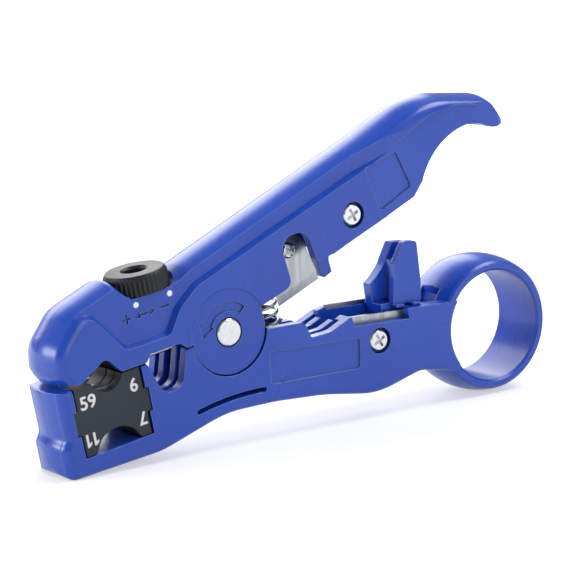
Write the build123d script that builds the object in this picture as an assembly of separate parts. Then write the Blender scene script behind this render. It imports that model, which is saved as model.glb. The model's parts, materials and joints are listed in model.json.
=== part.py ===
from build123d import *
import math
import os

# Coaxial cable stripper: a two-lever hand tool that stands on its jaw and its finger ring.
# All sizes are in millimetres. The pieces are drawn in the tool's own frame: the pivot axis is Y and
# passes through the origin, +X runs from the jaws to the finger ring, and the jaws meet at Z = 0.
# At the end everything is turned into the pose in which the tool rests on a table.

# Thickness of the tool, from its walls, ribs and slots
wall = 2.5
side_slot = 1.9
rib = 2.0
mid_slot = 3.0
half = wall + side_slot + rib + mid_slot / 2
inner = half - wall
rib_outer = inner - side_slot
parting_gap = 0.2
sliding_gap = 0.1
running_gap = 0.05

# Pivot
disc_radius = 9.9
disc_step = 0.5
disc_gap = 0.3
barrel_radius = 6.6
pin_head_radius = 3.2
pin_head_height = 2.0
pin_radius = 2.5
pin_proud = 0.35
pin_moat = 0.35
disc_chamfer = 0.6
clip_radius = 4.2
clip_thickness = 0.6
squeeze_angle = 24.0

# Finger ring
ring_x = 74.9
ring_z = -21.9
ring_bore_radius = 13.7
ring_wall = 2.3
ring_crown = 1.2
ring_rim_radius = ring_bore_radius + ring_wall
ring_crown_radius = ring_rim_radius + ring_crown
ring_edge_round = 0.6

# Lower jaw and its cassette
jaw_front = -46.5
jaw_chin = -47.9
jaw_chin_z = -12.6
jaw_bottom_z = -20.3
jaw_corner_radius = 3.0
jaw_side_drop = 3.0
cassette_x = -33.35
cassette_width = 17.1
cassette_height = 15.9
cassette_top_z = -0.3
cassette_gap = 0.5
cassette_setback = 0.3
key_width = 19.5
key_top_z = -5.4
key_height = 5.5
notch_small_width = 8.0
notch_small_depth = 2.9
notch_large_width = 12.0
notch_large_depth = 4.3
coax_blade_width = 13.0
coax_blade_thickness = 0.6
coax_blade_places = (-4.6, -1.0, 4.6)
coax_blade_depth = 2.4

# Jacket port with its ribs, and the adjustable blade above it
port_x = -17.4
port_top_width = 10.8
port_floor_width = 5.2
port_depth = 8.4
port_corner_radius = 3.0
knob_x = -17.05
knob_radius = 7.4
knob_top_radius = 6.8
knob_ledge_z = 14.6
knob_height = 4.8
knob_lift = 0.15
knob_grooves = 40
knob_groove_depth = 0.35
pocket_radius = 8.3
hub_radius = 5.2
hub_groove_radius = 3.7
hub_bottom_z = 11.5
thread_radius = 2.75
retaining_pin_radius = 0.7
retaining_pin_x = 4.5
retaining_pin_z = 13.1
carrier_width = 7.7
carrier_depth = 9.8
carrier_bottom_z = 1.8
carrier_top_z = 9.4
stem_top_z = 17.6
jacket_blade_width = 6.3
jacket_blade_thickness = 0.5
jacket_blade_bottom_z = 0.1
jacket_blade_height = 6.0
relief_z = 1.65

# Cable saddle inside the upper jaw
saddle_left = -40.4
saddle_right = -26.6
saddle_height = 7.4

# Upper lever
step_depth = 1.8
step_slant = 24.0
crown_shoulder = 5.6
crown_drop = 1.1
corner_drop = 3.4
cheek_round = 0.5
nest_radius = 18.5
tail_setback = 0.8
tail_corner_radius = 4.0
panel_depth = 0.4

# Cutter, blade holder and screws
cutter_thickness = 1.2
cutter_angle = 14.6
cutter_heel = (19.0, -0.7)
cutter_length = 12.7
cutter_height = 15.0
cutter_bevel = 2.3
holder_gap = 0.1
upper_screw_place = (39.0, 16.9)
lower_screw_place = (40.4, -14.9)
screw_radius = 1.5
screw_head_radius = 2.75
screw_head_height = 1.3
screw_sink_radius = 3.2
screw_sink_depth = 1.5
nut_width = 5.5
nut_height = 2.0
strip_thickness = 0.9
strip_drop = 1.2

# Rear part of the lower handle
rail_angle = -10.3
ledge_left = 34.0
ledge_right = 49.9
ledge_z = -9.4
rail_z = -9.75
anvil_left = 20.5
anvil_floor_z = -8.1
near_blade_top_z = -7.5
far_blade_top_z = -5.6
lower_blade_height = 4.6
lower_blade_thickness = 1.0
channel_left = 44.0
channel_right = 63.4
channel_half = 3.5
channel_depth = 6.6
spring_x = 14.2
spring_radius = 3.5
spring_wire = 0.4
spring_bottom_z = -6.2
spring_top_z = 7.2
spring_turns = 7.0
spring_steps = 14

# Cable stop
stop_left = 45.4
stop_right = 57.0
stop_lug_height = 0.7


def side_plate(sketch, near, far):
    """A sketch drawn in the side view, given thickness from y = near to y = far."""
    plane = Plane(origin=(0, far, 0), x_dir=(1, 0, 0), z_dir=(0, -1, 0))
    return extrude(plane * sketch, amount=far - near)


def on_both_sides(part):
    return part + mirror(part, Plane.XZ)


def polygon(*points):
    return make_face(Polyline(*points, close=True))


def rounded_line(*corners):
    """Straight runs with arcs between them; a corner is (x, z), or (x, z, radius) where it is rounded."""
    start = Vector(*corners[0][:2])
    runs = []
    for before, corner, after in zip(corners, corners[1:], corners[2:]):
        place = Vector(*corner[:2])
        if len(corner) == 3:
            back = (Vector(*before[:2]) - place).normalized()
            ahead = (Vector(*after[:2]) - place).normalized()
            half_angle = math.acos(max(-1.0, min(1.0, back.dot(ahead)))) / 2
            radius = corner[2]
            middle = (back + ahead).normalized() * (radius / math.sin(half_angle) - radius)
            first = place + back * (radius / math.tan(half_angle))
            last = place + ahead * (radius / math.tan(half_angle))
            runs.append(Line(start, first))
            runs.append(ThreePointArc(first, place + middle, last))
            start = last
        else:
            runs.append(Line(start, place))
            start = place
    runs.append(Line(start, Vector(*corners[-1][:2])))
    return Curve() + runs


def rounded_polygon(*corners):
    return make_face(rounded_line(*corners, corners[0][:2]))


def box_between(x_range, y_range, z_range):
    size = [high - low for low, high in (x_range, y_range, z_range)]
    centre = [(high + low) / 2 for low, high in (x_range, y_range, z_range)]
    return Pos(*centre) * Box(*size)


def cross_bar(x, z, radius, near, far):
    """A cylinder along Y."""
    return side_plate(Pos(x, z) * Circle(radius), near, far)


def rail_height(x, start_x, start_z):
    """Height of a line that runs parallel to the rear rail."""
    return start_z + (x - start_x) * math.tan(math.radians(rail_angle))


def turned(point, angle):
    """A side-view point turned about the pivot; a positive angle lifts the ring end."""
    a = math.radians(angle)
    x, z = point
    return (x * math.cos(a) - z * math.sin(a), x * math.sin(a) + z * math.cos(a))


# Lower handle with the finger ring
ring_meet = math.radians(27.5)


def lower_outline():
    jaw_top = -parting_gap / 2
    return rounded_polygon(
        (9.0, jaw_top),
        (jaw_front, jaw_top, 0.6),
        (jaw_front, jaw_chin_z + 1.6, 2.0),
        (jaw_chin, jaw_chin_z, 3.4),
        (jaw_chin, jaw_bottom_z, jaw_corner_radius),
        (-22.8, -21.3, 20.0),
        (-4.4, -18.3, 30.0),
        (9.0, -20.1, 60.0),
        (22.5, -22.9, 60.0),
        (ring_x - 37.4, -27.6, 22.0),
        (ring_x - 23.6, -26.1, 8.0),
        (ring_x - ring_rim_radius * math.cos(ring_meet), ring_z - ring_rim_radius * math.sin(ring_meet)),
        (ring_x, ring_z),
        (ring_x, rail_height(ring_x, ledge_right, rail_z)),
        (ledge_right, rail_z, 0.4),
        (ledge_right, rail_height(ledge_right, ledge_left, ledge_z)),
        (ledge_left, ledge_z),
        (ledge_left - 0.4, -6.7, 0.4),
        (27.6, -8.4, 1.0),
        (26.2, anvil_floor_z - 0.3, 0.6),
        (anvil_left + 0.9, anvil_floor_z, 0.6),
        (anvil_left, -4.6, 0.6),
        (anvil_left - 1.0, -3.8),
        (10.2, -2.4),
    )


def finger_ring():
    edge = ring_edge_round
    section = Polyline(
        (ring_rim_radius, -half + edge),
        (ring_rim_radius - edge, -half),
        (ring_bore_radius + edge, -half),
        (ring_bore_radius, -half + edge),
        (ring_bore_radius, half - edge),
        (ring_bore_radius + edge, half),
        (ring_rim_radius - edge, half),
        (ring_rim_radius, half - edge),
    )
    crown = ThreePointArc((ring_rim_radius, -half + edge), (ring_crown_radius, 0), (ring_rim_radius, half - edge))
    return Pos(ring_x, 0, ring_z) * revolve(make_face(section + crown), Axis.Y)


def port_outline():
    top = 1.0
    spread = (port_top_width - port_floor_width) / 2
    slope = spread / port_depth
    shape = polygon(
        (port_x - port_top_width / 2 - top * slope, top),
        (port_x - port_floor_width / 2, -port_depth),
        (port_x + port_floor_width / 2, -port_depth),
        (port_x + port_top_width / 2 + top * slope, top),
    )
    return fillet(shape.vertices().sort_by(Axis.Y)[:2], port_corner_radius)


def cavity_outline(left, right):
    """Side view of the slots between the ribs, open at the top, with 2.5 mm left below them."""
    return polygon((left, 2.0), (left, -12.6), (left + 5.5, -17.4), (8.0, -17.4), (right, -20.5), (right, 2.0))


def edge_section(reach, shoulder, shoulder_drop, side_drop):
    """Half-round section, with the path at the middle of its top, of what lies outside a crowned edge."""
    bow = (half - 0.75, -shoulder_drop - 0.37 * (side_drop - shoulder_drop))
    near_side = ThreePointArc((-half, -side_drop), (-bow[0], bow[1]), (-shoulder, -shoulder_drop))
    top = ThreePointArc((-shoulder, -shoulder_drop), (0, 0), (shoulder, -shoulder_drop))
    far_side = ThreePointArc((shoulder, -shoulder_drop), bow, (half, -side_drop))
    outside = Polyline((half, -side_drop), (reach, -side_drop), (reach, 0.4), (-reach, 0.4), (-reach, -side_drop),
                       (-half, -side_drop))
    return make_face(near_side + top + far_side + outside)


def jaw_front_cutter():
    """The space outside the crowned front of the lower jaw, swept from below the jaw to above it."""
    line = rounded_line((jaw_chin, jaw_bottom_z - 8), (jaw_chin, jaw_chin_z, 3.4), (jaw_front, jaw_chin_z + 1.6, 2.0),
                        (jaw_front, 4.0))
    path = Wire((Plane.XZ * line).edges())
    start = Plane(origin=path @ 0, x_dir=(0, 1, 0), z_dir=path % 0)
    return sweep(start * edge_section(half + 0.6, 5.2, 0.75, jaw_side_drop), path=path)


def lower_handle():
    body = side_plate(lower_outline(), -half, half)
    long_edges = body.edges().filter_by(lambda e: abs(abs(e.center().Y) - half) < 0.01)
    ring_left = ring_x - ring_rim_radius * math.cos(ring_meet) + 0.2
    bottom_edges = long_edges.filter_by(lambda e: e.center().Z < jaw_chin_z - 1 and e.center().X < ring_left)
    body = fillet(bottom_edges, 1.2)
    body -= side_plate(Pos(ring_x, ring_z) * Circle(ring_rim_radius), -half - 1, half + 1)
    body += side_plate(lower_outline() & Pos(ring_x, ring_z) * Circle(ring_rim_radius + 1.5),
                       -half + 0.01, half - 0.01)
    body += finger_ring()
    body -= cross_bar(ring_x, ring_z, ring_bore_radius, -half - 1, half + 1)
    body -= jaw_front_cutter()

    # Slots between the walls and the ribs
    cavity = cavity_outline(port_x - port_top_width / 2 + 1.5, 31.6)
    body -= on_both_sides(side_plate(cavity, rib_outer, inner))
    body -= side_plate(cavity_outline(port_x - port_top_width / 2 + 1.5, 36.0), -mid_slot / 2, mid_slot / 2)
    body += cross_bar(0, 0, barrel_radius, -inner + sliding_gap, inner - sliding_gap)
    body -= cross_bar(0, 0, pin_radius + 0.02, -half, half)

    # Circular recess in both walls for the discs of the upper lever
    recess = Pos(0, 0) * Circle(disc_radius + disc_gap)
    body -= on_both_sides(side_plate(recess, inner - 0.01, half + 1))

    # Jacket port and cassette window
    body -= side_plate(port_outline(), -half - 1, half + 1)
    window_half = cassette_width / 2 + cassette_gap
    window_floor = cassette_top_z - cassette_height - sliding_gap
    body -= box_between((cassette_x - window_half, cassette_x + window_half), (-half - 1, half + 1),
                        (window_floor, 2.0))
    groove_half = key_width / 2 + sliding_gap
    body -= box_between((cassette_x - groove_half, cassette_x + groove_half), (-half - 1, half + 1),
                        (key_top_z - key_height - sliding_gap, key_top_z + sliding_gap))

    # Curved slot through each side wall
    slot_line = ThreePointArc((-11.9, -15.5), (-3.0, -15.1), (6.3, -16.0))
    body -= on_both_sides(side_plate(SlotArc(slot_line, 1.2), inner - 0.5, half + 1))

    # Spring seat
    body -= Pos(spring_x, 0, spring_bottom_z) * Cylinder(spring_radius + spring_wire + 0.3, 10.0,
                                                         align=(Align.CENTER, Align.CENTER, Align.MIN))
    return rear_of_handle(body)


def blade_line(left, right, top_z):
    """Side view of a lower strip blade, parallel to the rail."""
    return polygon(
        (left, rail_height(left, ledge_left, top_z)),
        (right, rail_height(right, ledge_left, top_z)),
        (right, rail_height(right, ledge_left, top_z - lower_blade_height)),
        (left, rail_height(left, ledge_left, top_z - lower_blade_height)),
    )


def below_rail(left, right, top_z, depth):
    """Side view of a band under a line parallel to the rail."""
    return polygon(
        (left, rail_height(left, ledge_left, top_z)),
        (right, rail_height(right, ledge_left, top_z)),
        (right, rail_height(right, ledge_left, top_z - depth)),
        (left, rail_height(left, ledge_left, top_z - depth)),
    )


blade_left = ledge_left + 0.6
blade_right = ledge_right + 0.4
blade_far = inner - sliding_gap / 2
blade_near = blade_far - lower_blade_thickness


def rear_of_handle(body):
    """Anvil ramps, far rib and wall, blade slots, stop channel, screw seat and panel."""
    ramp = polygon((31.6, -12.0), (31.6, -6.2), (ledge_left, -5.9), (ledge_left, -12.0))
    body += side_plate(ramp, -rib_outer, inner)
    body -= box_between((31.0, 36.5), (-mid_slot / 2, mid_slot / 2), (-15.0, 0))
    far_top = far_blade_top_z - 1.0
    far_part = polygon(
        (ledge_left - 2.4, -12.0),
        (ledge_left - 2.4, far_top),
        (ledge_left, far_top),
        (ledge_right, rail_height(ledge_right, ledge_left, far_top)),
        (ledge_right, -14.0),
    )
    body += side_plate(far_part, channel_half, inner)
    body += side_plate(below_rail(ledge_left - 1.5, ledge_right + 0.5, far_top - 1.2, 4.0), inner, half)
    body += side_plate(below_rail(ledge_left, ledge_right, near_blade_top_z - 0.8, 4.0), -blade_near, -channel_half)
    for near, far, top in ((-inner, -blade_near + 0.05, near_blade_top_z), (blade_near - 0.05, inner, far_blade_top_z)):
        slot = below_rail(blade_left - 0.05, blade_right + 0.05, top + 3.0, lower_blade_height + 3.0)
        body -= side_plate(slot, near, far)

    # Channel of the cable stop, shallow as far as the anvil and deep under the stop
    body -= side_plate(below_rail(31.0, channel_left + 1, ledge_z - 1.6 + 12.0, 12.0), -channel_half, channel_half)
    deep = below_rail(channel_left, channel_right, rail_z + 5.0 + 2.9, channel_depth + 5.0)
    deep -= Pos(ring_x, ring_z) * Circle(ring_bore_radius + 2.0)
    body -= side_plate(deep, -channel_half, channel_half)

    # Countersunk screw hole with a hexagonal seat on the far side
    x, z = lower_screw_place
    body -= cross_bar(x, z, screw_radius + 0.05, -half - 1, half + 1)
    body -= cross_bar(x, z, screw_sink_radius, -half - 1, -half + screw_sink_depth)
    body -= side_plate(Pos(x, z) * RegularPolygon(nut_width / 2 + 0.05, 6, major_radius=False),
                       half - nut_height - 0.2, half + 1)

    # Bare recessed panel on the near side
    panel = polygon((9.5, -7.9), (34.8, -12.5), (33.5, -19.6), (8.3, -15.4))
    body -= side_plate(fillet(panel.vertices(), 0.8), -half - 1, -half + panel_depth)
    return body


# Upper lever
crown_corners = (
    (-44.6, 0.9),
    (-46.1, 3.2, 4.0),
    (-45.2, 9.4, 7.0),
    (-38.2, 16.3, 9.0),
    (-25.9, 19.7, 1.5),
    (-22.6, 16.2, 2.5),
    (-10.2, 16.2, 3.0),
    (-6.9, 17.7, 3.0),
    (48.5, 33.3, 60.0),
    (66.5, 39.0, 24.0),
    (86.2, 34.1, 7.0),
    (89.2, 28.0),
)
nest_centre = turned((ring_x, ring_z), squeeze_angle)


def nest_point(angle):
    a = math.radians(angle)
    return (nest_centre[0] + nest_radius * math.cos(a), nest_centre[1] + nest_radius * math.sin(a))


def lever_outline():
    jaw = parting_gap / 2
    crown = rounded_line(*crown_corners)
    hook = rounded_line(crown_corners[-1], (89.2, 26.4, 1.2), (84.6, 26.0, 5.0), (80.5, 28.3, 8.0), nest_point(92))
    nest = ThreePointArc(nest_point(92), nest_point(122), nest_point(152))
    below = rounded_line(
        nest_point(152),
        (57.6, 16.1, 0.6),
        (26.9, 8.5, 1.5),
        (25.3, 17.2, 3.2),
        (17.6, 17.2, 3.2),
        (18.3, 10.8, 6.0),
        (18.9, 5.5, 2.4),
        (9.4, 3.4),
        (7.0, jaw + 0.5),
        (0.0, jaw),
        (port_x + port_top_width / 2 + 0.2, jaw),
        (port_x + 4.0, relief_z, 0.5),
        (port_x - 4.0, relief_z, 0.5),
        (port_x - port_top_width / 2 + 0.2, jaw),
        (-29.3, jaw, 0.8),
        (-32.6, 4.4, 1.8),
        (-39.6, 0.6, 3.0),
        crown_corners[0],
    )
    return make_face(crown + hook + nest + below)


def crown_cutter():
    """The space outside the crowned top, swept from the nose to the tip of the tail."""
    first = Vector(*crown_corners[0])
    rise = (Vector(*crown_corners[1][:2]) - first).normalized()
    last = Vector(*crown_corners[-1])
    fall = (last - Vector(*crown_corners[-2][:2])).normalized()
    before = first - rise * 4
    beyond = last + fall * 5
    path = Plane.XZ * rounded_line((before.X, before.Y), *crown_corners[1:-1], (beyond.X, beyond.Y))
    path = Wire(path.edges())
    start = Plane(origin=path @ 0, x_dir=(0, 1, 0), z_dir=path % 0)
    return sweep(start * edge_section(half + 0.6, crown_shoulder, crown_drop, corner_drop), path=path)


def tail_end():
    """The space outside the rounded end of the tail, seen from above."""
    tip = crown_corners[-1][0]
    width = half - tail_setback
    block = plan_wedge([(tip - 9, -half - 1), (tip + 3, -half - 1), (tip + 3, half + 1), (tip - 9, half + 1)], 18, 44)
    rounded = Rectangle(30, 2 * width, align=(Align.MAX, Align.CENTER))
    rounded = fillet(rounded.vertices().sort_by(Axis.X)[-2:], tail_corner_radius)
    return block - extrude(Pos(tip + 0.2, 0, 17) * rounded, amount=30)


def ridge_region():
    """Side view of what lies above the proud cheek: the scoop beside the knob and the band along the lever."""
    return rounded_polygon(
        (-38.4, 45.0),
        (-38.4, 15.0),
        (-33.4, 14.7, 4.0),
        (-26.6, 5.1, 1.5),
        (-15.6, 5.0, 1.5),
        (-12.2, 9.9, 6.0),
        (-6.5, 13.8, 8.0),
        (60.0, 31.5),
        (60.0, 45.0),
    )


def plan_wedge(points, z_low, z_high):
    """A plan-view outline raised from z_low to z_high."""
    return extrude(Pos(0, 0, z_low) * polygon(*points), amount=z_high - z_low)


def lever_channel():
    """Side view of the hollow inside the lever, open below and higher over the cable stop."""
    return polygon((-4.0, -12.0), (-4.0, 9.0), (2.0, 13.4), (42.0, 24.4), (49.0, 30.0), (57.6, 31.4), (61.0, 24.0),
                   (62.0, 18.0), (62.0, -12.0))


def upper_lever():
    body = side_plate(lever_outline(), -half, half)
    body -= crown_cutter()
    body += on_both_sides(cross_bar(0, 0, disc_radius, inner, half))

    # The cheeks stand proud of the scoop and of the band below the cap
    step_y = half - step_depth
    step_plane = Plane(origin=(0, -step_y, 0), x_dir=(1, 0, 0), z_dir=(0, -1, 0))
    above = extrude(step_plane * ridge_region(), amount=step_depth + 0.5, taper=-step_slant)
    fade = plan_wedge([(-60, -half - 1), (-60, -step_y), (42.0, -step_y), (57.0, -half), (57.0, -half - 1)], 0, 50)
    body -= on_both_sides(above & fade)
    lip = polygon((44.0, 26.0), (58.0, 31.4), (66.0, 34.3), (74.0, 34.5), (80.0, 33.0), (86.0, 29.6), (90.0, 27.0),
                  (90.0, 0.0), (44.0, 0.0))
    tail = plan_wedge([(46.0, -half), (62.0, -half + tail_setback), (95.0, -half + tail_setback), (95.0, -half - 1),
                       (46.0, -half - 1)], 0, 50)
    body -= on_both_sides(side_plate(lip, -half - 1, half + 1) & tail)
    body -= tail_end()

    # Recessed disc face with its curved arrow
    rim = side_plate(Circle(disc_radius), -half - 1, -half + disc_step)
    soft_rim = Cone(disc_radius, disc_radius + disc_chamfer, disc_step, align=(Align.CENTER, Align.CENTER, Align.MIN))
    soft_rim = Pos(0, -half + disc_step, 0) * Rot(90, 0, 0) * soft_rim
    body -= on_both_sides(rim + soft_rim)
    body -= on_both_sides(side_plate(turn_arrow(), -half, -half + disc_step + 0.5))

    # Knob pocket, hub bore, carrier slot and retaining pin holes
    body -= Pos(knob_x, 0, knob_ledge_z) * Cylinder(pocket_radius, 20.0, align=(Align.CENTER, Align.CENTER, Align.MIN))
    body -= Pos(knob_x, 0, hub_bottom_z - 0.1) * Cylinder(hub_radius + running_gap, 5.0,
                                                          align=(Align.CENTER, Align.CENTER, Align.MIN))
    slot_half = carrier_width / 2 + sliding_gap
    slot_depth = carrier_depth / 2 + sliding_gap
    body -= box_between((knob_x - slot_half, knob_x + slot_half), (-slot_depth, slot_depth), (0, hub_bottom_z))
    for side in (-1, 1):
        body -= cross_bar(knob_x + side * retaining_pin_x, retaining_pin_z, retaining_pin_radius + 0.02,
                          -half, half)

    # Pocket of the cable saddle
    body -= box_between((saddle_left, saddle_right), (-inner, inner), (0, saddle_height))

    # Hollow behind the pivot, clearance round the barrel, and the pivot hole
    body -= side_plate(lever_channel(), -inner, inner)
    body -= cross_bar(0, 0, barrel_radius + 0.4, -inner, inner)
    seat = polygon((spring_x - 4.6, spring_top_z), (spring_x + 4.3, spring_top_z), (spring_x + 4.3, 18.0),
                   (spring_x - 4.6, 15.0))
    body += side_plate(seat, -inner, inner)
    body -= cross_bar(0, 0, pin_radius + running_gap, -half, half)
    body -= cross_bar(0, 0, pin_head_radius + running_gap, -half, -half + disc_step + pin_head_height)
    body -= cross_bar(0, 0, pin_head_radius + pin_moat, -half, -half + disc_step + 0.5)
    body -= cross_bar(0, 0, clip_radius + 0.2, half - disc_step - 1.2, half)

    # Screw hole, screw seat and hexagonal nut seat
    x, z = upper_screw_place
    body -= cross_bar(x, z, screw_radius + 0.05, -half - 1, half + 1)
    body -= cross_bar(x, z, screw_sink_radius, -half - 1, -half + screw_sink_depth)
    body -= side_plate(Pos(x, z) * RegularPolygon(nut_width / 2 + 0.05, 6, major_radius=False),
                       half - nut_height - 0.2, half + 1)

    # Bare recessed panel, and the plus, arrow and minus of the knob
    panel = polygon((44.5, 26.6), (54.3, 28.3), (57.3, 18.9), (46.9, 15.6))
    panel_face = plan_wedge([(40, -half - 1), (40, -half + panel_depth), (46, -half + panel_depth),
                             (62, -half + tail_setback + panel_depth), (62, -half - 1)], 0, 50)
    body -= side_plate(fillet(panel.vertices(), 0.8), -half - 1, 0) & panel_face
    body -= side_plate(depth_marks(), -step_y, -step_y + 0.4)
    return body


def turn_arrow():
    """Curved arrow that shows which way the lever turns."""
    inner_radius = 5.0
    outer_radius = 7.1
    ring = Circle(outer_radius) - Circle(inner_radius)
    sector = polygon((0, 0), turned((12, 0), 41), turned((14, 0), 70), turned((14, 0), 105), turned((12, 0), 150))
    tip = polygon(turned((8.4, 0), 150), turned((4.4, 0), 150), turned((6.9, 0), 176))
    return (ring & sector) + tip


def depth_marks():
    """Plus, double arrow and minus beside the knob."""
    middle = knob_x - 2.0
    height = 10.6
    plus = Pos(middle - 5.6, height) * (Rectangle(2.2, 0.45) + Rectangle(0.45, 2.2))
    minus = Pos(middle + 4.5, height + 0.1) * Rectangle(2.4, 0.45)
    shaft = Pos(middle - 0.8, height) * Rectangle(3.8, 0.45)
    right_head = polygon((middle + 0.5, height + 0.8), (middle + 2.0, height), (middle + 0.5, height - 0.8))
    left_head = polygon((middle - 2.1, height + 0.8), (middle - 3.6, height), (middle - 2.1, height - 0.8))
    return plus + minus + shaft + right_head + left_head


# Pivot pin and clip
def pivot_pin():
    near_end = -half + disc_step - pin_proud
    far_end = half - disc_step + 0.2
    head = cross_bar(0, 0, pin_head_radius, near_end, -half + disc_step + pin_head_height)
    head = chamfer(head.edges().sort_by(Axis.Y)[:1], 0.3)
    shank = cross_bar(0, 0, pin_radius, -half + disc_step + pin_head_height, far_end)
    groove_y = half - disc_step - 1.0
    groove = cross_bar(0, 0, pin_radius + 1, groove_y, groove_y + clip_thickness)
    groove -= cross_bar(0, 0, pin_radius - 0.5, groove_y, groove_y + clip_thickness)
    return head + shank - groove


def pivot_clip():
    groove_y = half - disc_step - 1.0
    clip = cross_bar(0, 0, clip_radius, groove_y, groove_y + clip_thickness)
    clip -= cross_bar(0, 0, pin_radius - 0.48, groove_y, groove_y + clip_thickness)
    mouth = polygon((0, 0), (-2.6, -6.0), (2.6, -6.0))
    return clip - side_plate(mouth, groove_y, groove_y + clip_thickness)


# Return spring
def return_spring():
    height = spring_top_z - spring_bottom_z - 2 * spring_wire
    steps = round(spring_turns * spring_steps)
    points = []
    for step in range(steps + 1):
        angle = 2 * math.pi * step / spring_steps
        points.append((spring_radius * math.cos(angle), spring_radius * math.sin(angle), height * step / steps))
    coil = Wire(Polyline(*points).edges())
    start = Plane(origin=coil @ 0, z_dir=coil % 0)
    wire = sweep(start * RegularPolygon(spring_wire, 6), path=coil, transition=Transition.RIGHT)
    return Pos(spring_x, 0, spring_bottom_z + spring_wire) * wire


# Knob, retaining pins and blade carrier
def depth_knob():
    bottom = knob_ledge_z + knob_lift
    top = knob_ledge_z + knob_height
    chamfer_z = top - 0.9
    profile = Polyline(
        (thread_radius, hub_bottom_z),
        (hub_radius, hub_bottom_z),
        (hub_radius, retaining_pin_z - retaining_pin_radius - sliding_gap),
        (hub_groove_radius, retaining_pin_z - retaining_pin_radius - sliding_gap),
        (hub_groove_radius, retaining_pin_z + retaining_pin_radius + sliding_gap),
        (hub_radius, retaining_pin_z + retaining_pin_radius + sliding_gap),
        (hub_radius, bottom),
        (knob_radius, bottom),
        (knob_radius, chamfer_z),
        (knob_top_radius, top),
        (thread_radius + 0.5, top),
        (thread_radius, top - 0.5),
        (thread_radius, hub_bottom_z),
    )
    knob = revolve(Plane.XZ * make_face(profile), Axis.Z)
    groove = Pos(knob_radius + 0.15, 0, (bottom + top) / 2) * Box(2 * knob_groove_depth + 0.3, 0.5, knob_height + 2)
    groove = groove.rotate(Axis((knob_radius + 0.15, 0, 0), (0, 0, 1)), 45)
    knob -= PolarLocations(0, knob_grooves) * groove
    return Pos(knob_x, 0, 0) * knob


def knob_pin(side):
    length = half - step_depth
    pin = cross_bar(knob_x + side * retaining_pin_x, retaining_pin_z, retaining_pin_radius, -length, length)
    return pin


def jacket_blade_space(extra):
    near = -carrier_depth / 2
    half_width = jacket_blade_width / 2
    return box_between((knob_x - half_width, knob_x + half_width), (near - extra, near + jacket_blade_thickness),
                       (jacket_blade_bottom_z, jacket_blade_bottom_z + jacket_blade_height))


def blade_carrier():
    block = box_between((knob_x - carrier_width / 2, knob_x + carrier_width / 2),
                        (-carrier_depth / 2, carrier_depth / 2), (carrier_bottom_z, carrier_top_z))
    stem_height = stem_top_z - carrier_top_z + 1.0
    stem = Pos(knob_x, 0, carrier_top_z - 1.0) * Cylinder(thread_radius - sliding_gap, stem_height,
                                                          align=(Align.CENTER, Align.CENTER, Align.MIN))
    return block + stem - jacket_blade_space(1.0)


def jacket_blade():
    blade = jacket_blade_space(0)
    return chamfer(blade.edges().filter_by(Axis.X).group_by(Axis.Z)[0].sort_by(Axis.Y)[:1], 0.3)


# Cable saddle
def cable_saddle():
    block = box_between((saddle_left, saddle_right), (-inner, inner), (parting_gap, saddle_height))
    below = rounded_polygon(
        (-28.2, -1.0),
        (-29.2, 0.1, 0.8),
        (-32.6, 4.0, 1.8),
        (-39.6, 0.5, 2.5),
        (-41.0, 0.5),
        (-41.0, -1.0),
    )
    return block - side_plate(below, -inner, inner)


# Cassette
def cassette_outline():
    left = cassette_x - cassette_width / 2
    right = cassette_x + cassette_width / 2
    bottom = cassette_top_z - cassette_height
    key = key_width / 2
    key_bottom = key_top_z - key_height
    body = polygon((left, bottom), (right, bottom), (right, cassette_top_z), (left, cassette_top_z))
    body += polygon((cassette_x - key, key_bottom), (cassette_x + key, key_bottom), (cassette_x + key, key_top_z),
                    (cassette_x - key, key_top_z))
    small = notch_small_width / 2
    small_notch = ThreePointArc((cassette_x - small, cassette_top_z),
                                (cassette_x, cassette_top_z - notch_small_depth),
                                (cassette_x + small, cassette_top_z))
    small_notch += Polyline((cassette_x + small, cassette_top_z), (cassette_x + small, 1.0),
                            (cassette_x - small, 1.0), (cassette_x - small, cassette_top_z))
    large = notch_large_width / 2
    large_notch = ThreePointArc((cassette_x - large + 1.6, bottom + 2.6),
                                (cassette_x, bottom + notch_large_depth),
                                (cassette_x + large - 1.6, bottom + 2.6))
    large_notch += Polyline((cassette_x + large - 1.6, bottom + 2.6), (cassette_x + large, bottom),
                            (cassette_x + large, bottom - 1), (cassette_x - large, bottom - 1),
                            (cassette_x - large, bottom), (cassette_x - large + 1.6, bottom + 2.6))
    return body - make_face(small_notch) - make_face(large_notch)


def coax_blade_outline(top_z):
    low = cassette_top_z - cassette_height + notch_large_depth - 1.0
    half_width = coax_blade_width / 2
    return polygon((cassette_x - half_width, low), (cassette_x + half_width, low), (cassette_x + half_width, top_z),
                   (cassette_x - half_width, top_z))


def cassette_body():
    depth = half - cassette_setback
    body = side_plate(cassette_outline(), -depth, depth)
    for place in coax_blade_places:
        slot = coax_blade_outline(2.0)
        body -= side_plate(slot, place - coax_blade_thickness / 2, place + coax_blade_thickness / 2)
    return body


def coax_blade(place):
    outline = coax_blade_outline(cassette_top_z - coax_blade_depth)
    return side_plate(outline, place - coax_blade_thickness / 2, place + coax_blade_thickness / 2)


# Blade holder and the blades of the lever
def cutter_corner(along, up):
    """A point of the cutter, measured along its edge and up from it."""
    x, z = turned((along, up), cutter_angle)
    return (cutter_heel[0] + x, cutter_heel[1] + z)


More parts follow.
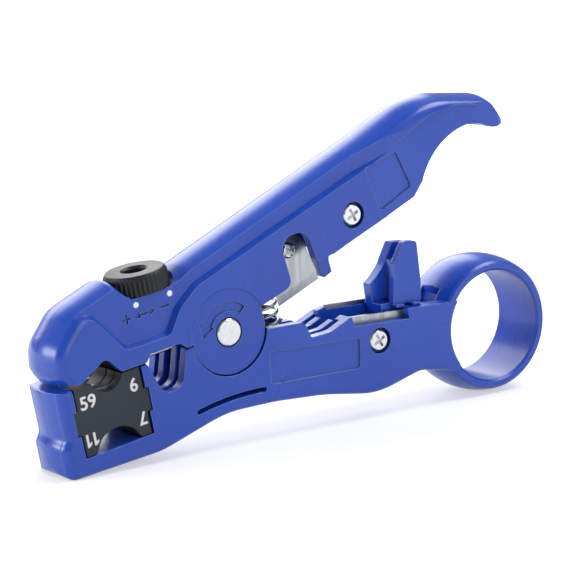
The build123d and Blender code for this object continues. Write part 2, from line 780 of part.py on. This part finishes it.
def cutter_blade():
    outline = polygon(cutter_corner(0, 0), cutter_corner(cutter_length, 0),
                      cutter_corner(cutter_length, cutter_height - 4), cutter_corner(cutter_length - 2, cutter_height),
                      cutter_corner(3.9, cutter_height), cutter_corner(1.6, 6))
    t = cutter_thickness / 2
    blade = side_plate(outline, -t, t)
    for side in (-1, 1):
        grind = Polyline((side * 0.05, -0.02), (side * (t + 0.3), -0.02), (side * (t + 0.3), cutter_bevel + 1),
                         (side * t, cutter_bevel), (side * 0.05, -0.02))
        edge = Plane(origin=(cutter_corner(-2, 0)[0], 0, cutter_corner(-2, 0)[1]), x_dir=(0, 1, 0),
                     z_dir=(math.cos(math.radians(cutter_angle)), 0, math.sin(math.radians(cutter_angle))))
        blade -= extrude(edge * make_face(grind), amount=cutter_length + 4)
    x, z = cutter_screw_place
    return blade - cross_bar(x, z, 1.05, -2, 2)


cutter_screw_place = (23.6, 11.9)


def strip_outline(x_left, x_right, drop, up):
    """Side view of a strip that starts a drop below the lever's lower edge and rises from there."""
    start = (35.1, 10.3 - drop)
    slope = (16.1 - 10.3) / (57.6 - 35.1)
    low_left = start[1] + (x_left - start[0]) * slope
    low_right = start[1] + (x_right - start[0]) * slope
    return polygon((x_left, low_left), (x_right, low_right), (x_right, low_right + up), (x_left, low_left + up))


strip_left = 36.6
strip_right = 49.2
strip_far = -inner + holder_gap + strip_thickness
holder_top = 10.2
holder_far = 3.3
far_drop = 0.8


def blade_holder():
    y = inner - holder_gap
    front = strip_outline(34.8, 42.4, strip_drop, holder_top) - Circle(34.9)
    body = side_plate(front, -y, holder_far)
    far_front = strip_outline(34.8, 42.4, far_drop, holder_top) - Circle(34.9)
    body += side_plate(far_front, holder_far, y)
    bar = strip_outline(33.2, 50.6, strip_drop, strip_drop + 3.4)
    body += side_plate(bar, -y, strip_far)
    arm = polygon((19.9, 12.5), (19.9, 15.2), (36.0, 19.6), (36.0, 11.9), (28.5, 10.5), (22.5, 8.6))
    body += side_plate(arm, cutter_thickness / 2, y)
    tab = polygon((30.9, 7.6), (34.3, 6.6), (34.6, 3.4), (32.3, 2.6), (31.7, 3.0))
    tab_root = polygon((30.9, 7.4), (34.3, 6.4), (36.0, 12.0), (31.2, 12.0))
    body += side_plate(tab + tab_root, -1.2, 1.2)
    blade_space = strip_outline(strip_left, strip_right, strip_drop + 1, strip_drop + 3.4)
    body -= side_plate(blade_space, -y - 1, strip_far)
    x, z = cutter_screw_place
    body -= cross_bar(x, z, 1.0, 0, inner)
    x, z = upper_screw_place
    return body - cross_bar(x, z, screw_radius + 0.05, -half, half)


def flat_cable_blade():
    y = inner - holder_gap
    return side_plate(strip_outline(strip_left, strip_right, strip_drop, strip_drop + 2.4), -y, strip_far)


def cross_recess(y, depth):
    arms = Rectangle(3.3, 0.65) + Rectangle(0.65, 3.3)
    return side_plate(Rot(0, 0, 20) * arms, y - 0.5, y + depth)


def screw(place, near, length, head_radius, head_height, shank_radius):
    """Cross-recessed screw along Y with its head at y = near."""
    head = cross_bar(0, 0, head_radius, near, near + head_height)
    head = chamfer(head.edges().sort_by(Axis.Y)[:1], head_height * 0.4)
    shank = cross_bar(0, 0, shank_radius, near + head_height, near + length)
    body = head + shank - cross_recess(near, head_height * 0.7)
    return Pos(place[0], 0, place[1]) * body


def body_screw(place):
    near = -half + screw_sink_depth - screw_head_height
    return screw(place, near, 2 * half - 0.8 - (near + half), screw_head_radius, screw_head_height, screw_radius)


def body_nut(place):
    hexagon = Pos(*place) * RegularPolygon(nut_width / 2, 6, major_radius=False)
    nut = side_plate(hexagon, half - nut_height - 0.2, half - 0.2)
    return nut - cross_bar(place[0], place[1], screw_radius, -half, half)


def cutter_blade_screw():
    return screw(cutter_screw_place, -cutter_thickness / 2 - 1.1, 1.1 + cutter_thickness + 3.5, 1.9, 1.1, 0.98)


# Strip blades of the lower handle
def near_strip_blade():
    return side_plate(blade_line(blade_left, blade_right, near_blade_top_z), -blade_far, -blade_near)


def far_strip_blade():
    return side_plate(blade_line(blade_left, blade_right, far_blade_top_z), blade_near, blade_far)


# Cable stop
def cable_stop():
    near_plate = polygon((48.5, -9.0), (50.8, 0.8), (54.6, 5.4), (58.3, 4.5), (57.6, -5.7), (56.6, -10.2))
    near_plate = fillet(near_plate.vertices().sort_by(Axis.Y)[-2:], 1.0)
    back = Spline((51.4, 1.4), (49.2, -1.0), (45.6, -3.3), tangents=[(-0.5, -1), (-1, -0.35)])
    far_outline = back + Polyline((45.6, -3.3), (stop_left, -8.0), (57.1, -9.6), (58.4, 3.9), (54.1, 4.9),
                                  (51.4, 1.4))
    far_plate = make_face(far_outline)
    web = polygon((49.4, -8.2), (51.4, 1.2), (57.8, 0.8), (57.1, -9.6))
    body = side_plate(near_plate, -4.2, -2.4)
    body += side_plate(far_plate, 0.1, 2.9)
    body += side_plate(web, -2.4, 0.1)
    base = polygon(
        (stop_left, -8.0),
        (stop_right, -9.4),
        (stop_right, -11.5),
        (stop_right - 3.5, rail_height(stop_right - 3.5, ledge_left, rail_z + 2.9 - channel_depth + sliding_gap)),
        (stop_left, rail_height(stop_left, ledge_left, rail_z + 2.9 - channel_depth + sliding_gap)),
    )
    body += side_plate(base, -channel_half + sliding_gap, channel_half - sliding_gap)
    for left in (48.2, 53.0):
        low = rail_z + 0.1
        lug = polygon(
            (left, rail_height(left, ledge_right, low)),
            (left + 2.2, rail_height(left + 2.2, ledge_right, low)),
            (left + 2.2, rail_height(left + 2.2, ledge_right, low + stop_lug_height)),
            (left, rail_height(left, ledge_right, low + stop_lug_height)),
        )
        body += side_plate(lug, -5.9, -3.0)
    return body


nodes = {
    "lower_handle": lower_handle(),
    "upper_lever": upper_lever(),
    "pivot_pin": pivot_pin(),
    "pivot_clip": pivot_clip(),
    "return_spring": return_spring(),
    "depth_knob": depth_knob(),
    "knob_pin_front": knob_pin(-1),
    "knob_pin_rear": knob_pin(1),
    "blade_carrier": blade_carrier(),
    "jacket_blade": jacket_blade(),
    "cable_saddle": cable_saddle(),
    "cassette_body": cassette_body(),
    "blade_holder": blade_holder(),
    "cutter_blade": cutter_blade(),
    "cutter_blade_screw": cutter_blade_screw(),
    "flat_cable_blade": flat_cable_blade(),
    "upper_screw": body_screw(upper_screw_place),
    "upper_nut": body_nut(upper_screw_place),
    "near_strip_blade": near_strip_blade(),
    "far_strip_blade": far_strip_blade(),
    "lower_screw": body_screw(lower_screw_place),
    "lower_nut": body_nut(lower_screw_place),
    "cable_stop": cable_stop(),
}
for number, place in enumerate(coax_blade_places, start=1):
    nodes[f"coax_blade_{number}"] = coax_blade(place)

# Resting pose: the tool stands on the rounded corner of its jaw and on the ring
corner_x = jaw_chin + jaw_corner_radius
corner_z = jaw_bottom_z + jaw_corner_radius
reach = math.hypot(ring_x - corner_x, ring_z - corner_z)
rest_tilt = math.degrees(math.asin((ring_crown_radius - jaw_corner_radius) / reach)
                         - math.atan2(ring_z - corner_z, ring_x - corner_x))
tilted = {name: Rot(0, -rest_tilt, 0) * shape for name, shape in nodes.items()}
bounds = Compound(list(tilted.values())).bounding_box()
to_floor = Pos(-bounds.center().X, -bounds.center().Y, -bounds.min.Z)

os.makedirs("parts", exist_ok=True)
for name, shape in tilted.items():
    export_step(to_floor * shape, f"parts/{name}.step")
print("rest tilt", round(rest_tilt, 4), "origin of the tool's own frame",
      [round(v, 4) for v in (-bounds.center().X, -bounds.center().Y, -bounds.min.Z)])
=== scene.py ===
import json
import math

import bmesh
import bpy
from mathutils import Matrix, Vector


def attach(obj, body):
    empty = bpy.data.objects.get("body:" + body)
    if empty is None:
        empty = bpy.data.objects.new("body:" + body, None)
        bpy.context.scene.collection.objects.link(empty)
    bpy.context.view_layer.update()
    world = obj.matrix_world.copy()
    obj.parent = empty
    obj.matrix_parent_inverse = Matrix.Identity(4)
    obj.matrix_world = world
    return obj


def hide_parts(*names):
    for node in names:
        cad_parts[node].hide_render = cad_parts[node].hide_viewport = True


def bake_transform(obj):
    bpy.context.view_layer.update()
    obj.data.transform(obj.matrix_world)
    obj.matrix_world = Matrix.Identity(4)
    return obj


# Looks of a coaxial cable stripper: materials, printed numbers, lights and the camera of the photograph.
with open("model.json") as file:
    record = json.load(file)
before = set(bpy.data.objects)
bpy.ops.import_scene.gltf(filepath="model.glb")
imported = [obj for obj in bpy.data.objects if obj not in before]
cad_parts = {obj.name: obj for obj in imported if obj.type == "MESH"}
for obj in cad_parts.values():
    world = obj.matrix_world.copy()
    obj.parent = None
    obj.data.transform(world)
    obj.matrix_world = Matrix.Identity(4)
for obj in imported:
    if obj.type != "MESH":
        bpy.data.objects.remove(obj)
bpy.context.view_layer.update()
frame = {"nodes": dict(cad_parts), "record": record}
nodes = frame["nodes"]

MM = 0.001
WHITE = (1.0, 1.0, 1.0, 1.0)

# The tool's own frame: pivot at its origin, X to the ring, Y to the far side, Z up from the closed jaws
TILT = math.radians(9.0012)
TOOL_ORIGIN = Vector((-0.0242599, 0.0, 0.0272275))


def tool_matrix():
    turn = Matrix.Rotation(-TILT, 4, "Y")
    return Matrix.Translation(TOOL_ORIGIN) @ turn


def in_tool(x, y, z):
    """A point of the tool's frame, given in millimetres."""
    return tool_matrix() @ Vector((x * MM, y * MM, z * MM))


def add_object(name, data):
    thing = bpy.data.objects.new(name, data)
    bpy.context.scene.collection.objects.link(thing)
    return thing


# Colours are picked as they should look and turned into the linear values that the shaders take.
def linear(red, green, blue):
    values = []
    for value in (red, green, blue):
        value = value / 255
        values.append(value / 12.92 if value <= 0.04045 else ((value + 0.055) / 1.055) ** 2.4)
    return (*values, 1.0)


def scaled_colour(colour, factor):
    return tuple(min(1.0, value * factor) for value in colour[:3]) + (1.0,)


# Nodes that the materials share
NOISE_LOW = 0.3
NOISE_HIGH = 0.7
EDGE_STARTS_COSINE = 0.98
EDGE_FULL_COSINE = 0.8
BEVEL_SAMPLES = 6
OPENNESS_SAMPLES = 8


def new_material(name):
    """A material with its node tree and its main shader."""
    material = bpy.data.materials.new(name)
    material.use_nodes = True
    tree = material.node_tree
    return material, tree, tree.nodes["Principled BSDF"]


def noise(tree, scale, detail, stretch=None):
    """Noise in the object's own coordinates, in patches of about one divided by scale, in metres."""
    source = tree.nodes.new("ShaderNodeTexCoord").outputs["Object"]
    if stretch:
        mapping = tree.nodes.new("ShaderNodeMapping")
        mapping.inputs["Scale"].default_value = stretch
        tree.links.new(source, mapping.inputs["Vector"])
        source = mapping.outputs["Vector"]
    texture = tree.nodes.new("ShaderNodeTexNoise")
    texture.inputs["Scale"].default_value = scale
    texture.inputs["Detail"].default_value = detail
    tree.links.new(source, texture.inputs["Vector"])
    return texture.outputs["Fac"]


def map_range(tree, source, from_low, from_high, to_low, to_high, soft=False):
    """Maps one range to another and keeps within it. A soft one eases in and out at its ends."""
    node = tree.nodes.new("ShaderNodeMapRange")
    if soft:
        node.interpolation_type = "SMOOTHSTEP"
    node.inputs["From Min"].default_value = from_low
    node.inputs["From Max"].default_value = from_high
    node.inputs["To Min"].default_value = to_low
    node.inputs["To Max"].default_value = to_high
    tree.links.new(source, node.inputs["Value"])
    return node.outputs["Result"]


def spread(tree, source, low, high):
    """Turns a noise value, which is seldom near nought or one, into a range."""
    return map_range(tree, source, NOISE_LOW, NOISE_HIGH, low, high, soft=True)


def calculate(tree, operation, first, second=None):
    node = tree.nodes.new("ShaderNodeMath")
    node.operation = operation
    tree.links.new(first, node.inputs[0])
    if second:
        tree.links.new(second, node.inputs[1])
    return node.outputs["Value"]


def blend_colours(tree, factor, first, second):
    """The first colour is a fixed one or comes from a node, and the second is a fixed one."""
    mix = tree.nodes.new("ShaderNodeMix")
    mix.data_type = "RGBA"
    mix.inputs["B"].default_value = second
    tree.links.new(factor, mix.inputs["Factor"])
    if isinstance(first, bpy.types.NodeSocket):
        tree.links.new(first, mix.inputs["A"])
    else:
        mix.inputs["A"].default_value = first
    return mix.outputs["Result"]


def softened_normal(tree, radius):
    """The surface's direction, over edges that look rounded by the radius."""
    rounded = tree.nodes.new("ShaderNodeBevel")
    rounded.samples = BEVEL_SAMPLES
    rounded.inputs["Radius"].default_value = radius
    return rounded.outputs["Normal"]


def openness(tree, reach):
    """One on open faces, less in creases and sunk marks."""
    node = tree.nodes.new("ShaderNodeAmbientOcclusion")
    node.samples = OPENNESS_SAMPLES
    node.inputs["Distance"].default_value = reach
    return node.outputs["AO"]


def edge_turn(tree, radius):
    """Nought on a flat or gently curved face, more where the face turns sharply within the radius."""
    surface = tree.nodes.new("ShaderNodeNewGeometry")
    along = tree.nodes.new("ShaderNodeVectorMath")
    along.operation = "DOT_PRODUCT"
    tree.links.new(softened_normal(tree, radius), along.inputs[0])
    tree.links.new(surface.outputs["True Normal"], along.inputs[1])
    return map_range(tree, along.outputs["Value"], EDGE_STARTS_COSINE, EDGE_FULL_COSINE, 0.0, 1.0)


def bump(tree, shader, height, strength, distance, edge_radius):
    """Fine relief, over edges that are softened as a mould or a grinding wheel leaves them."""
    node = tree.nodes.new("ShaderNodeBump")
    node.inputs["Strength"].default_value = strength
    node.inputs["Distance"].default_value = distance
    tree.links.new(height, node.inputs["Height"])
    tree.links.new(softened_normal(tree, edge_radius), node.inputs["Normal"])
    tree.links.new(node.outputs["Normal"], shader.inputs["Normal"])


# Moulded plastic, with its noise scales in patches to a metre and its lengths in metres
CLOUD_SCALE = 50
SHEEN_SCALE = 60
GRAIN_STRENGTH = 0.1
MOULD_EDGE = 0.00035
# The next four numbers set the painted highlight on open edges and the painted shade in creases and sunk
# marks.
HIGHLIGHT_EDGE_RADIUS = 0.0004
HIGHLIGHT_SHARE = 0.8
CREASE_REACH = 0.0009
CREASE_SHADE_SHARE = 0.8
PARTING_INNER = 0.0000875
PARTING_OUTER = 0.0001625
PARTING_FULL_X = -0.063
PARTING_END_X = -0.058


def parting_line(tree):
    """One along the middle plane of the jaws, where the halves of the mould met, and nought elsewhere."""
    coordinates = tree.nodes.new("ShaderNodeTexCoord")
    across = tree.nodes.new("ShaderNodeSeparateXYZ")
    tree.links.new(coordinates.outputs["Object"], across.inputs["Vector"])
    off_middle = calculate(tree, "ABSOLUTE", across.outputs["Y"])
    line = map_range(tree, off_middle, PARTING_INNER, PARTING_OUTER, 1.0, 0.0)
    jaws = map_range(tree, across.outputs["X"], PARTING_FULL_X, PARTING_END_X, 1.0, 0.0)
    return calculate(tree, "MULTIPLY", line, jaws)


def painted_shade_and_highlights(tree, colour, crease_shade_and_seam, edge_highlight_colour):
    """The colour with painted highlights on open edges, painted shade in creases and sunk marks, and a
    dark parting line.
    """
    open_face = openness(tree, CREASE_REACH)
    # Painted highlight: open edges where the face turns sharply get a paler colour.
    outer = map_range(tree, open_face, 0.6, 0.9, 0.0, HIGHLIGHT_SHARE)
    painted_edge_highlight = calculate(tree, "MULTIPLY", edge_turn(tree, HIGHLIGHT_EDGE_RADIUS), outer)
    # Painted shade: creases and sunk marks, with little open round them, get a darker colour.
    painted_crease_shade = map_range(tree, open_face, 0.85, 0.35, 0.0, CREASE_SHADE_SHARE)
    colour = blend_colours(tree, painted_edge_highlight, colour, edge_highlight_colour)
    colour = blend_colours(tree, painted_crease_shade, colour, crease_shade_and_seam)
    return blend_colours(tree, parting_line(tree), colour, crease_shade_and_seam)


def moulded_plastic(name, colour, shade, roughness, grain, grain_depth, crease_shade_and_seam=None, edge_highlight_colour=None):
    """Moulded plastic with a faint cloudy colour, an uneven sheen and a fine spark-eroded grain. Given a
    colour for painted shade and one for painted highlights, it also has painted shade in creases and sunk
    marks, a dark parting line in the shade's colour and painted highlights on open edges."""
    material, tree, shader = new_material(name)
    clouds = spread(tree, noise(tree, CLOUD_SCALE, detail=2), 0.0, 1.0)
    body_colour = blend_colours(tree, clouds, colour, shade)
    if crease_shade_and_seam:
        body_colour = painted_shade_and_highlights(tree, body_colour, crease_shade_and_seam, edge_highlight_colour)
    tree.links.new(body_colour, shader.inputs["Base Color"])
    sheen = spread(tree, noise(tree, SHEEN_SCALE, detail=2), *roughness)
    tree.links.new(sheen, shader.inputs["Roughness"])
    bump(tree, shader, noise(tree, grain, detail=2), GRAIN_STRENGTH, grain_depth, MOULD_EDGE)
    return material


def set_gloss(material, level):
    """How much light the bare surface reflects, where 0.5 is common plastic."""
    material.node_tree.nodes["Principled BSDF"].inputs["Specular IOR Level"].default_value = level


# Steels, with their noise scales in patches to a metre and their lengths in metres
LINES_SCALE = 900
LINES_SHADE = 0.82
LINES_STRENGTH = 0.3
LINES_DEPTH = 0.00001
GROUND_EDGE = 0.0001
PEEL_SCALE = 700
PEEL_TINT = 1.12
PEEL_STRENGTH = 0.2
PEEL_DEPTH = 0.00002
PLATED_EDGE = 0.0002


def patterned_metal(name, colour, other_colour, roughness, scale, detail, stretch=None):
    """Bare metal whose tint and sheen follow one noise, which is also returned for its relief."""
    material, tree, shader = new_material(name)
    shader.inputs["Metallic"].default_value = 1.0
    pattern = noise(tree, scale, detail, stretch)
    tint = blend_colours(tree, spread(tree, pattern, 0.0, 1.0), colour, other_colour)
    tree.links.new(tint, shader.inputs["Base Color"])
    tree.links.new(spread(tree, pattern, *roughness), shader.inputs["Roughness"])
    return material, tree, shader, pattern


def ground_steel(name, colour, stretch, roughness):
    """Ground steel with fine lines along one direction."""
    darker = scaled_colour(colour, LINES_SHADE)
    material, tree, shader, lines = patterned_metal(name, colour, darker, roughness, LINES_SCALE, detail=4,
                                                    stretch=stretch)
    bump(tree, shader, lines, LINES_STRENGTH, LINES_DEPTH, GROUND_EDGE)
    return material


def plated_steel(name, colour, roughness):
    """Bright plated steel with a slight orange peel."""
    lighter = scaled_colour(colour, PEEL_TINT)
    material, tree, shader, peel = patterned_metal(name, colour, lighter, roughness, PEEL_SCALE, detail=3)
    bump(tree, shader, peel, PEEL_STRENGTH, PEEL_DEPTH, PLATED_EDGE)
    return material


# Blue plastic: the dark colour is painted shade in creases, also used for the parting line, and the pale
# colour is a painted highlight on edges.
blue = moulded_plastic("blue_plastic", linear(22, 75, 190), linear(19, 70, 182), roughness=(0.26, 0.31),
                       grain=3400, grain_depth=0.00001,
                       crease_shade_and_seam=linear(12, 30, 84), edge_highlight_colour=linear(124, 152, 230))
set_gloss(blue, 0.62)
black = moulded_plastic("black_plastic", linear(17, 21, 30), linear(11, 15, 22), roughness=(0.40, 0.52),
                        grain=2200, grain_depth=0.00003)
# A duller copy of the black plastic, whose darker colour is painted shade for the pieces inside the jaws.
dull_shaded_black = moulded_plastic("dull_shaded_black", linear(13, 16, 23), linear(9, 11, 16), roughness=(0.6, 0.72),
                             grain=2200, grain_depth=0.00003)
set_gloss(dull_shaded_black, 0.2)
cassette = moulded_plastic("cassette_plastic", linear(32, 44, 58), linear(26, 37, 50),
                           roughness=(0.45, 0.58), grain=3000, grain_depth=0.00002)
blade_steel = ground_steel("blade_steel", linear(176, 180, 184), stretch=(1.0, 1.0, 0.08),
                           roughness=(0.22, 0.36))
wire_steel = plated_steel("spring_steel", linear(150, 152, 156), roughness=(0.22, 0.34))
bright_steel = plated_steel("bright_steel", linear(206, 208, 212), roughness=(0.18, 0.28))
white_ink = moulded_plastic("white_ink", linear(250, 251, 252), linear(244, 245, 247),
                            roughness=(0.5, 0.62), grain=1800, grain_depth=0.00001)

by_slot = {
    "blue_plastic": blue,
    "black_plastic": black,
    "cassette_plastic": cassette,
    "blade_steel": blade_steel,
    "spring_steel": wire_steel,
    "chrome_steel": bright_steel,
}
for part in frame["record"]["subparts"]:
    mesh = nodes[part["node"]].data
    mesh.materials.clear()
    mesh.materials.append(by_slot[part["material_slot"]])

# The two black pieces inside the jaws are duller than the knob, and darker, which is painted shade inside
# the jaws.
for name in ("cable_saddle", "blade_carrier"):
    nodes[name].data.materials[0] = dull_shaded_black

# Return spring, in millimetres of the tool's frame: round wire with a closed turn at each end
SPRING_X = 14.2
SPRING_BOTTOM = -6.2
SPRING_TOP = 7.2
SPRING_RADIUS = 3.5
SPRING_WIRE = 0.4
SPRING_TURNS = 7
TURN_STEPS = 32
TURN_NUDGE = 0.01
WIRE_SIDES = 12


def wire_centre(turn):
    """The wire's centre after so many turns. Within the first turn and the last the wire rises by its own
    thickness, so those turns are closed."""
    height = SPRING_TOP - SPRING_BOTTOM - 2 * SPRING_WIRE
    closed = 2 * SPRING_WIRE
    open_pitch = (height - 2 * closed) / (SPRING_TURNS - 2)
    rise = closed * min(turn, 1.0)
    rise += open_pitch * min(max(turn - 1.0, 0.0), SPRING_TURNS - 2.0)
    rise += closed * max(turn - SPRING_TURNS + 1.0, 0.0)
    angle = 2 * math.pi * turn
    return Vector((SPRING_RADIUS * math.cos(angle), SPRING_RADIUS * math.sin(angle), SPRING_WIRE + rise))


def wire_ring(mesh, turn):
    """The points round the wire at one place along it."""
    centre = wire_centre(turn)
    outward = Vector((centre.x, centre.y, 0.0)).normalized()
    along = (wire_centre(turn + TURN_NUDGE) - wire_centre(turn - TURN_NUDGE)).normalized()
    upward = outward.cross(along)
    ring = []
    for side in range(WIRE_SIDES):
        angle = 2 * math.pi * side / WIRE_SIDES
        point = centre + SPRING_WIRE * (math.cos(angle) * outward + math.sin(angle) * upward)
        ring.append(mesh.verts.new(in_tool(SPRING_X + point.x, point.y, SPRING_BOTTOM + point.z)))
    return ring


def coil_spring():
    mesh = bmesh.new()
    rings = [wire_ring(mesh, step / TURN_STEPS) for step in range(SPRING_TURNS * TURN_STEPS + 1)]
    for first, second in zip(rings, rings[1:]):
        for side in range(WIRE_SIDES):
            after = (side + 1) % WIRE_SIDES
            mesh.faces.new((first[side], first[after], second[after], second[side]))
    mesh.faces.new(rings[0])
    mesh.faces.new(rings[-1])
    bmesh.ops.recalc_face_normals(mesh, faces=mesh.faces)
    for face in mesh.faces:
        face.smooth = len(face.verts) == 4
    data = bpy.data.meshes.new("coil_spring")
    mesh.to_mesh(data)
    mesh.free()
    data.materials.append(wire_steel)
    coil = add_object("coil_spring", data)
    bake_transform(coil)
    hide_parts("return_spring")


coil_spring()

# Printed size numbers on the cassette's near face, in millimetres of the tool's frame
PRINT_Y = -7.62
PRINT_THICKNESS = 0.02
SIZE_FOR_HEIGHT = 1.42
STROKE_FATTENING = 0.11


def letters(name, text, height):
    curve = bpy.data.curves.new(name, "FONT")
    curve.body = text
    curve.size = height * MM * SIZE_FOR_HEIGHT
    curve.align_x = "CENTER"
    curve.align_y = "CENTER"
    curve.offset = STROKE_FATTENING * MM
    curve.resolution_u = 6
    return curve


def eleven(name, height):
    """Two upright strokes, each with a flag at its top. The outline is for a height of one."""
    curve = bpy.data.curves.new(name, "CURVE")
    curve.dimensions = "2D"
    curve.fill_mode = "BOTH"
    stroke = [(0.0, -0.5), (0.2, -0.5), (0.2, 0.5), (0.05, 0.5), (-0.2, 0.3), (-0.2, 0.1), (0.0, 0.22)]
    for shift in (-0.32, 0.27):
        spline = curve.splines.new("POLY")
        spline.points.add(len(stroke) - 1)
        for point, (x, z) in zip(spline.points, stroke):
            point.co = ((x + shift) * height * MM, z * height * MM, 0.0, 1.0)
        spline.use_cyclic_u = True
    return curve


def number(name, curve, x, z, turn):
    """Prints a number with its middle at x and z, turned in its own plane by so many degrees."""
    curve.extrude = PRINT_THICKNESS * MM
    label = add_object(name, curve)
    upright = Matrix.Rotation(math.radians(90), 4, "X")
    spin = Matrix.Rotation(math.radians(turn), 4, "Y")
    place = Matrix.Translation((x * MM, PRINT_Y * MM, z * MM))
    label.matrix_world = tool_matrix() @ place @ spin @ upright
    curve.materials.append(white_ink)
    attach(label, "cassette")


number("number_59", letters("number_59", "59", height=3.0), x=-39.0, z=-4.1, turn=0)
number("number_6", letters("number_6", "6", height=3.0), x=-27.0, z=-4.0, turn=0)
number("number_7", letters("number_7", "7", height=3.0), x=-26.3, z=-11.9, turn=180)
number("number_11", eleven("number_11", height=3.1), x=-39.8, z=-12.6, turn=180)

# Floor: pale, with a glow for the camera and for reflections that is fainter near the tool
FLOOR_REACH = 3.0
FLOOR_COLOUR = (0.62, 0.62, 0.63, 1.0)
FLOOR_ROUGHNESS = 0.8
GLOW_NEAR = 0.5
GLOW_FAR = 1.0
NEAR_DISTANCE = 0.12
FAR_DISTANCE = 0.45


def pale_floor():
    mesh = bpy.data.meshes.new("floor")
    corners = [(x * FLOOR_REACH, y * FLOOR_REACH, 0) for x, y in ((-1, -1), (1, -1), (1, 1), (-1, 1))]
    mesh.from_pydata(corners, [], [(0, 1, 2, 3)])
    floor = add_object("floor", mesh)
    material, tree, shader = new_material("pale_floor")
    shader.inputs["Base Color"].default_value = FLOOR_COLOUR
    shader.inputs["Roughness"].default_value = FLOOR_ROUGHNESS
    rays = tree.nodes.new("ShaderNodeLightPath")
    seen = calculate(tree, "MAXIMUM", rays.outputs["Is Camera Ray"], rays.outputs["Is Glossy Ray"])
    place = tree.nodes.new("ShaderNodeTexCoord")
    distance = tree.nodes.new("ShaderNodeVectorMath")
    distance.operation = "LENGTH"
    tree.links.new(place.outputs["Object"], distance.inputs[0])
    away = distance.outputs["Value"]
    rise = map_range(tree, away, NEAR_DISTANCE, FAR_DISTANCE, GLOW_NEAR, GLOW_FAR, soft=True)
    glow = tree.nodes.new("ShaderNodeEmission")
    glow.inputs["Color"].default_value = WHITE
    tree.links.new(calculate(tree, "MULTIPLY", seen, rise), glow.inputs["Strength"])
    both = tree.nodes.new("ShaderNodeAddShader")
    tree.links.new(shader.outputs["BSDF"], both.inputs[0])
    tree.links.new(glow.outputs["Emission"], both.inputs[1])
    tree.links.new(both.outputs["Shader"], tree.nodes["Material Output"].inputs["Surface"])
    mesh.materials.append(material)


pale_floor()

# World: white where it is seen, and as light a grey that is a little darker overhead than round about
SEEN_LIGHT = 1.0
LIGHT_ROUND_ABOUT = 0.4
LIGHT_OVERHEAD = 0.3
LOW_SKY = 0.1
HIGH_SKY = 0.8


def studio_world():
    world = bpy.data.worlds.new("studio")
    bpy.context.scene.world = world
    world.use_nodes = True
    tree = world.node_tree
    sky = tree.nodes["Background"]
    sky.inputs["Color"].default_value = WHITE
    rays = tree.nodes.new("ShaderNodeLightPath")
    direction = tree.nodes.new("ShaderNodeTexCoord")
    height = tree.nodes.new("ShaderNodeSeparateXYZ")
    tree.links.new(direction.outputs["Generated"], height.inputs["Vector"])
    upward = height.outputs["Z"]
    light = map_range(tree, upward, LOW_SKY, HIGH_SKY, LIGHT_ROUND_ABOUT, LIGHT_OVERHEAD, soft=True)
    level = tree.nodes.new("ShaderNodeMix")
    level.inputs["B"].default_value = SEEN_LIGHT
    tree.links.new(rays.outputs["Is Camera Ray"], level.inputs["Factor"])
    tree.links.new(light, level.inputs["A"])
    tree.links.new(level.outputs["Result"], sky.inputs["Strength"])


studio_world()

# Lights, in metres and watts
TOOL_MIDDLE = (0.0, 0.0, 0.03)
TOOL_UPPER = (0.0, 0.0, 0.04)


def softbox(name, place, target, width, height, watts):
    light = bpy.data.lights.new(name, "AREA")
    light.shape = "RECTANGLE"
    light.size = width
    light.size_y = height
    light.energy = watts
    lamp = add_object(name, light)
    lamp.location = place
    lamp.visible_camera = False
    lamp.rotation_euler = (Vector(target) - Vector(place)).to_track_quat("-Z", "Y").to_euler()


softbox("top_light", (0.36, -0.12, 0.66), TOOL_MIDDLE, width=0.42, height=0.3, watts=2.9)
softbox("back_light", (0.15, 0.8, 0.45), TOOL_MIDDLE, width=0.9, height=0.55, watts=5.2)
softbox("left_light", (-0.7, 0.3, 0.2), TOOL_MIDDLE, width=0.36, height=0.28, watts=3.0)
softbox("front_light", (0.0, -0.85, 0.35), TOOL_UPPER, width=0.6, height=0.5, watts=2.1)

# Camera of the photograph, fitted to the pivot, ring and jaws that it shows, with its turns in degrees
CAMERA_PLACE = (-0.307333, -0.45716, 0.13485)
CAMERA_TURN = (79.5407, 2.6108, -34.1721)
CAMERA_LENS = 147.8


def photo_camera():
    camera_data = bpy.data.cameras.new("camera")
    camera_data.sensor_width = 36.0
    camera_data.lens = CAMERA_LENS
    camera_data.clip_start = 0.01
    camera_data.clip_end = 50.0
    camera = add_object("camera", camera_data)
    camera.location = CAMERA_PLACE
    camera.rotation_euler = [math.radians(angle) for angle in CAMERA_TURN]
    bpy.context.scene.camera = camera


photo_camera()

bpy.context.scene.view_settings.view_transform = "Standard"
